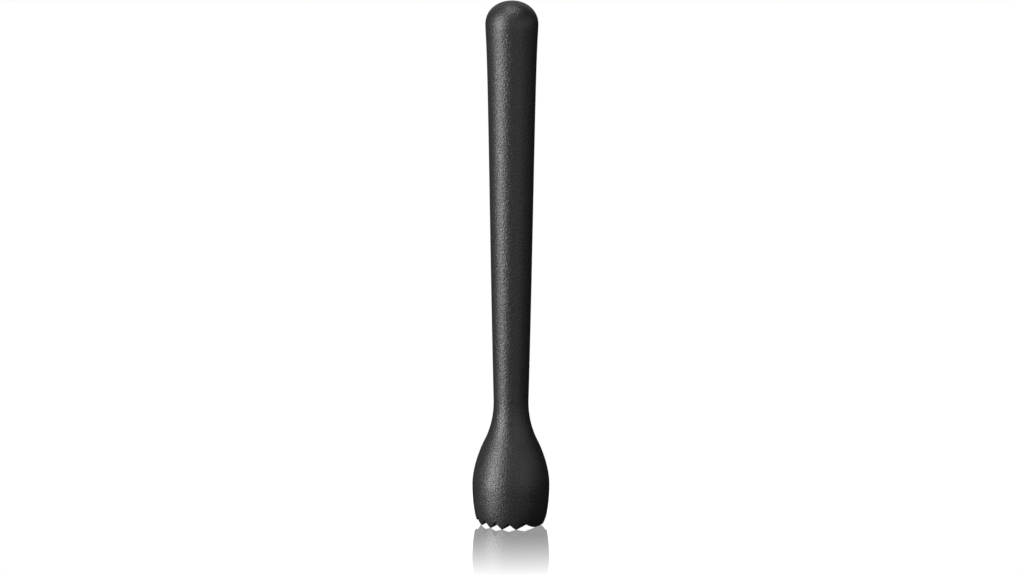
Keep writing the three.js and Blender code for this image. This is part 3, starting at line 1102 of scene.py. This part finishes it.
class MUDDLER_OT_handle(bpy.types.Operator):
    """Builds the tapered handle with its bores."""

    bl_idname = "muddler.handle"
    bl_label = "Handle"

    def execute(self, context):
        plastic = material_for("grained_black_plastic", grained_plastic, context.scene.muddler_finish)
        surface = handle_surface(context.scene.muddler_sizes)
        make_piece("handle_moulding", surface, plastic, "handle_grip")
        return {"FINISHED"}


class MUDDLER_OT_cap(bpy.types.Operator):
    """Builds the domed cap with its spigot."""

    bl_idname = "muddler.cap"
    bl_label = "Cap"

    def execute(self, context):
        plastic = material_for("grained_black_plastic", grained_plastic, context.scene.muddler_finish)
        surface = cap_surface(context.scene.muddler_sizes)
        make_piece("cap_moulding", surface, plastic, "dome_cap")
        return {"FINISHED"}


class MUDDLER_OT_metalwork(bpy.types.Operator):
    """Builds the tie rod, the brass insert, the washer and the nut."""

    bl_idname = "muddler.metalwork"
    bl_label = "Rod, insert, washer and nut"

    def execute(self, context):
        steel = material_for("drawn_steel", drawn_steel)
        brass = material_for("machined_brass", machined_brass)
        make_piece("threaded_rod", rod_surface(), steel, "tie_rod")
        make_piece("knurled_insert", insert_surface(), brass, "head_insert")
        make_piece("plain_washer", washer_surface(), steel, "rod_washer")
        make_piece("hexagon_nut", nut_surface(), steel, "rod_nut")
        return {"FINISHED"}


class MUDDLER_OT_seals(bpy.types.Operator):
    """Builds the two seal rings."""

    bl_idname = "muddler.seals"
    bl_label = "Seal rings"

    def execute(self, context):
        rubber = material_for("seal_rubber", seal_rubber)
        lower = seal_surface(HEAD_SPIGOT_RADIUS, HEAD_SEAL_HEIGHT)
        upper = seal_surface(CAP_SPIGOT_RADIUS, CAP_SEAL_HEIGHT)
        make_piece("lower_seal_ring", lower, rubber, "head_seal")
        make_piece("upper_seal_ring", upper, rubber, "cap_seal")
        return {"FINISHED"}


class MUDDLER_OT_stage(bpy.types.Operator):
    """Builds the floor, the lights, the white cards, the room and the camera."""

    bl_idname = "muddler.stage"
    bl_label = "Stage"

    def execute(self, context):
        stage = context.scene.muddler_stage
        floor = make_floor(stage)
        make_lights(stage)
        make_cards(stage, floor)
        make_room()
        make_camera(stage)
        return {"FINISHED"}


OPERATORS = (
    MUDDLER_OT_stage,
    MUDDLER_OT_head,
    MUDDLER_OT_handle,
    MUDDLER_OT_cap,
    MUDDLER_OT_metalwork,
    MUDDLER_OT_seals,
)


class MUDDLER_PT_panel(bpy.types.Panel):
    """Lists the muddler's pieces in the sidebar."""

    bl_idname = "MUDDLER_PT_panel"
    bl_label = "Bar muddler"
    bl_space_type = "VIEW_3D"
    bl_region_type = "UI"
    bl_category = "Muddler"

    def draw(self, context):
        for operator in OPERATORS:
            self.layout.operator(operator.bl_idname)
        for group in (context.scene.muddler_sizes, context.scene.muddler_finish, context.scene.muddler_stage):
            box = self.layout.box()
            for name in group.bl_rna.properties.keys():
                if name not in ("rna_type", "name"):
                    box.prop(group, name)


GROUPS = {
    "muddler_sizes": MuddlerSizes,
    "muddler_finish": MuddlerFinish,
    "muddler_stage": MuddlerStage,
}


def register():
    """Registers the property groups, the operators and the panel."""
    for name, group in GROUPS.items():
        bpy.utils.register_class(group)
        setattr(bpy.types.Scene, name, PointerProperty(type=group))
    for operator in OPERATORS:
        bpy.utils.register_class(operator)
    bpy.utils.register_class(MUDDLER_PT_panel)


def unregister():
    """Undoes register."""
    bpy.utils.unregister_class(MUDDLER_PT_panel)
    for operator in reversed(OPERATORS):
        bpy.utils.unregister_class(operator)
    for name, group in reversed(GROUPS.items()):
        delattr(bpy.types.Scene, name)
        bpy.utils.unregister_class(group)


def main():
    """Builds everything."""
    register()
    for operator in OPERATORS:
        family, name = operator.bl_idname.split(".")
        getattr(getattr(bpy.ops, family), name)()


if __name__ == "__main__":
    main()
